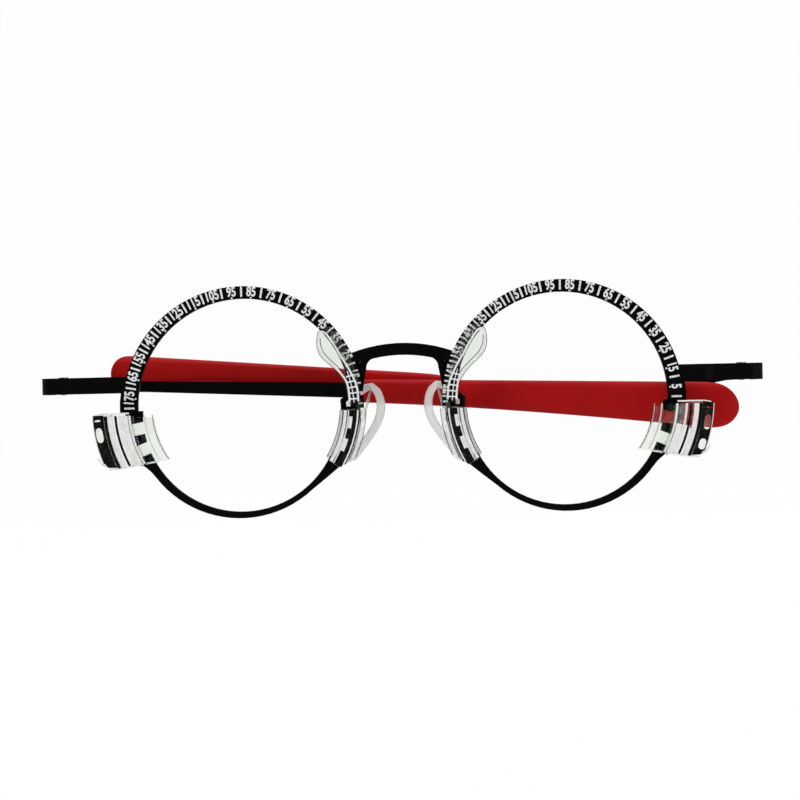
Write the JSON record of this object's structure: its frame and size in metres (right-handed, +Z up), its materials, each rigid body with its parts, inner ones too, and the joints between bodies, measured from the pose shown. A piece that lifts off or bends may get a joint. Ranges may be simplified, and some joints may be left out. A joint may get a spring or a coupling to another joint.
{
  "type": "optical trial frame",
  "caption": "Lightweight trial frame for testing eyesight: round black rings with degree scales, clear lens holders with sprung fingers, nose pads and folding soft-tipped temples.",
  "frame": {"origin": "under the middle of the frame, level with the lowest points of the two rings", "axes": "+X towards the wearer's left, across the front; +Y from the front to the wearer; +Z up"},
  "size_m": [0.121, 0.0266, 0.0387],
  "materials": {
    "black_metal": "satin",
    "clear_plastic": "clear polished",
    "clear_silicone": "clear soft",
    "soft_red": "matt soft",
    "screw_steel": "satin"
  },
  "bodies": {
    "front": {"front_frame": "black_metal", "temporal_holder_right": "clear_plastic", "temporal_holder_left": "clear_plastic", "nasal_holder_right": "clear_plastic", "nasal_holder_left": "clear_plastic", "end_hinge_right": "black_metal", "end_hinge_left": "black_metal", "hinge_screw_right": "screw_steel", "hinge_screw_left": "screw_steel", "pad_wire_right": "black_metal", "pad_wire_left": "black_metal", "pad_box_right": "black_metal", "pad_box_left": "black_metal", "pad_screw_right": "screw_steel", "pad_screw_left": "screw_steel"},
    "temple_right": {"temple_hinge_right": "black_metal", "temple_bar_right": "black_metal", "temple_sleeve_right": "soft_red"},
    "temple_left": {"temple_hinge_left": "black_metal", "temple_bar_left": "black_metal", "temple_sleeve_left": "soft_red"},
    "spring_right": {"lens_spring_right": "clear_plastic"},
    "spring_left": {"lens_spring_left": "clear_plastic"},
    "pad_right": {"nose_pad_right": "clear_silicone"},
    "pad_left": {"nose_pad_left": "clear_silicone"}
  },
  "joints": [
    {"name": "temple_fold_right", "type": "hinge", "parent": "front", "child": "temple_right", "pos_m": [-0.0583, 0.00796, 0.02265], "axis": [0, 0, 1], "range_deg": [0, 93]},
    {"name": "temple_fold_left", "type": "hinge", "parent": "front", "child": "temple_left", "pos_m": [0.0583, 0.00796, 0.02265], "axis": [0, 0, -1], "range_deg": [0, 89]},
    {"name": "lens_spring_flex_right", "type": "hinge", "parent": "front", "child": "spring_right", "pos_m": [-0.00734, -0.00894, 0.01731], "axis": [0, 1, 0], "range_deg": [0, 4], "stiffness_Nm_per_rad": 0.02},
    {"name": "lens_spring_flex_left", "type": "hinge", "parent": "front", "child": "spring_left", "pos_m": [0.00734, -0.00894, 0.01731], "axis": [0, -1, 0], "range_deg": [0, 4], "stiffness_Nm_per_rad": 0.02},
    {"name": "pad_rock_right", "type": "hinge", "parent": "front", "child": "pad_right", "pos_m": [-0.00851, -0.00036, 0.01603], "axis": [-0.6677, 0.7193, 0.1915], "range_deg": [-8, 8]},
    {"name": "pad_rock_left", "type": "hinge", "parent": "front", "child": "pad_left", "pos_m": [0.00851, -0.00036, 0.01603], "axis": [0.6677, 0.7193, 0.1915], "range_deg": [-8, 8]}
  ]
}
